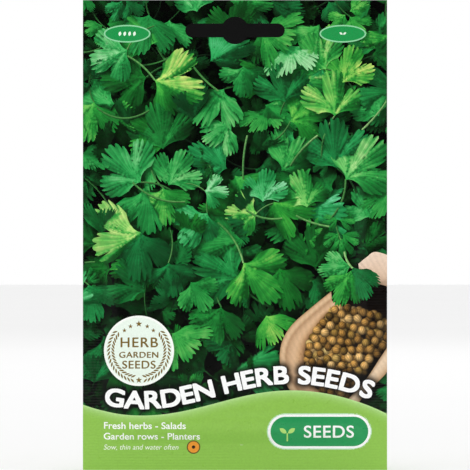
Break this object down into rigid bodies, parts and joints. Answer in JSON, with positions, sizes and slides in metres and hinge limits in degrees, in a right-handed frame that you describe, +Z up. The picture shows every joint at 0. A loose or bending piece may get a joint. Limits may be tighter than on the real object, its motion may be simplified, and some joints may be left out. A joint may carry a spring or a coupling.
{
  "type": "seed packet",
  "caption": "Flat heat-sealed herb seed packet with a printed leaf picture, a hang slot in its header and loose seeds inside.",
  "frame": {"origin": "centre of the hang slot, on the plane where the front and back panels meet", "axes": "+Z up the hanging packet, -Y out of its printed front, +X to the right as the front is seen"},
  "size_m": [0.11, 0.0064, 0.17],
  "materials": {
    "front_print": "gloss varnished print on laminated paper",
    "back_print": "gloss varnished print on laminated paper",
    "seed_husk": "dry ribbed husk"
  },
  "bodies": {
    "root": {"front_panel": "front_print", "back_panel": "back_print", "seed_01": "seed_husk", "seed_02": "seed_husk", "seed_03": "seed_husk", "seed_04": "seed_husk", "seed_05": "seed_husk", "seed_06": "seed_husk", "seed_07": "seed_husk", "seed_08": "seed_husk", "seed_09": "seed_husk", "seed_10": "seed_husk", "seed_11": "seed_husk", "seed_12": "seed_husk", "seed_13": "seed_husk", "seed_14": "seed_husk", "seed_15": "seed_husk", "seed_16": "seed_husk", "seed_17": "seed_husk", "seed_18": "seed_husk", "seed_19": "seed_husk", "seed_20": "seed_husk", "seed_21": "seed_husk", "seed_22": "seed_husk", "seed_23": "seed_husk", "seed_24": "seed_husk", "seed_25": "seed_husk", "seed_26": "seed_husk", "seed_27": "seed_husk", "seed_28": "seed_husk", "seed_29": "seed_husk", "seed_30": "seed_husk", "seed_31": "seed_husk", "seed_32": "seed_husk", "seed_33": "seed_husk", "seed_34": "seed_husk", "seed_35": "seed_husk", "seed_36": "seed_husk", "seed_37": "seed_husk", "seed_38": "seed_husk", "seed_39": "seed_husk", "seed_40": "seed_husk", "seed_41": "seed_husk", "seed_42": "seed_husk", "seed_43": "seed_husk", "seed_44": "seed_husk", "seed_45": "seed_husk", "seed_46": "seed_husk", "seed_47": "seed_husk", "seed_48": "seed_husk", "seed_49": "seed_husk", "seed_50": "seed_husk", "seed_51": "seed_husk", "seed_52": "seed_husk", "seed_53": "seed_husk", "seed_54": "seed_husk", "seed_55": "seed_husk", "seed_56": "seed_husk"}
  },
  "joints": []
}
